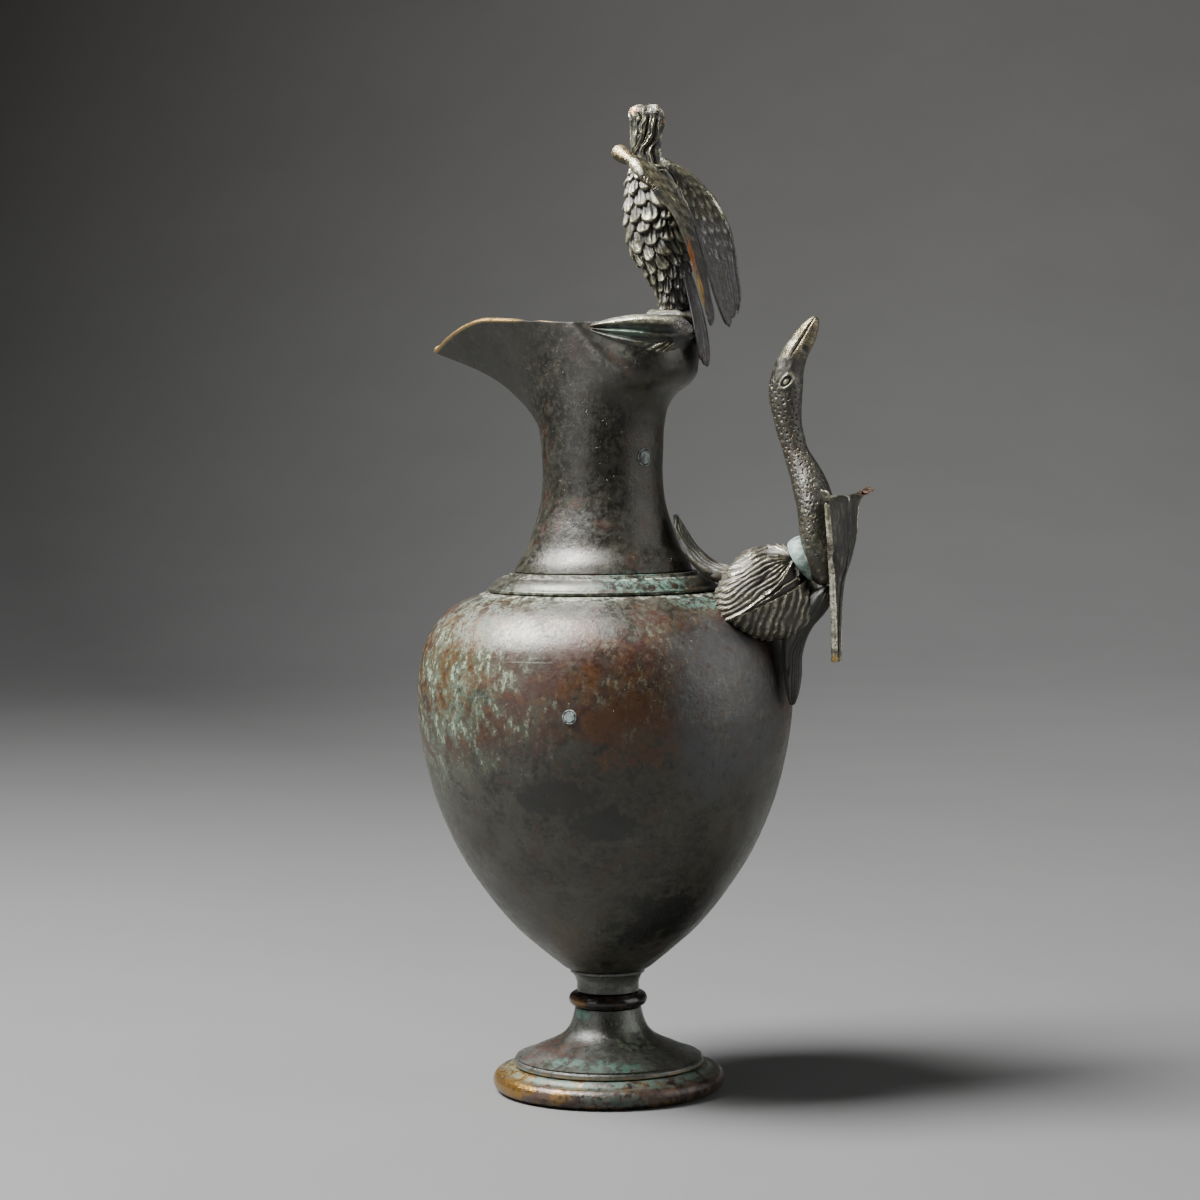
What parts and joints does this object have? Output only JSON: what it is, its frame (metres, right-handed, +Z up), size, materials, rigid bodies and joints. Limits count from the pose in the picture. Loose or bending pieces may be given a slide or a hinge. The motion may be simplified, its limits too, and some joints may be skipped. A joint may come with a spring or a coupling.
{
  "type": "bronze ewer",
  "caption": "Tall footed bronze jug with a beaked mouth, a bird perched on the rim and a swan rising from a leaf cup at the shoulder.",
  "frame": {"origin": "centre of the foot, on the plane that the ewer stands on", "axes": "+Z up along the vessel's axis, -X towards the spout, +X towards the handle fragments, -Y is the ewer's left"},
  "size_m": [0.1358, 0.1142, 0.2985],
  "materials": {
    "vessel_bronze": "smooth dark grey-green bronze patina with red-brown and pale green flecks",
    "foot_bronze": "turned bronze, dark with pale green patina in its hollows",
    "worn_bronze": "rounded base ring, rubbed golden brown with green patina above",
    "brown_bronze": "smooth glossy dark brown bronze bead",
    "cast_bronze": "cast and chased bronze, grey-green highs and dark recesses",
    "collar_bronze": "pale turquoise corroded bronze ring",
    "grey_plug": "pale grey-blue round casting plug"
  },
  "bodies": {
    "root": {"base_ring": "worn_bronze", "foot_cone": "foot_bronze", "foot_underplate": "foot_bronze", "foot_bead": "brown_bronze", "stem_cup": "foot_bronze", "belly": "vessel_bronze", "shoulder_band": "vessel_bronze", "neck_and_mouth": "vessel_bronze", "neck_plug": "grey_plug", "belly_plug": "grey_plug", "perch": "cast_bronze", "rim_arm_left": "cast_bronze", "rim_arm_right": "cast_bronze", "bird_body": "cast_bronze", "bird_head": "cast_bronze", "bird_tail": "cast_bronze", "bird_wing_left": "cast_bronze", "bird_wing_right": "cast_bronze", "calyx": "cast_bronze", "calyx_upper_leaf": "cast_bronze", "calyx_lower_leaf": "cast_bronze", "swan_collar": "collar_bronze", "swan_body": "cast_bronze", "swan_neck": "cast_bronze", "swan_wing_left": "cast_bronze", "swan_wing_right": "cast_bronze"}
  },
  "joints": []
}
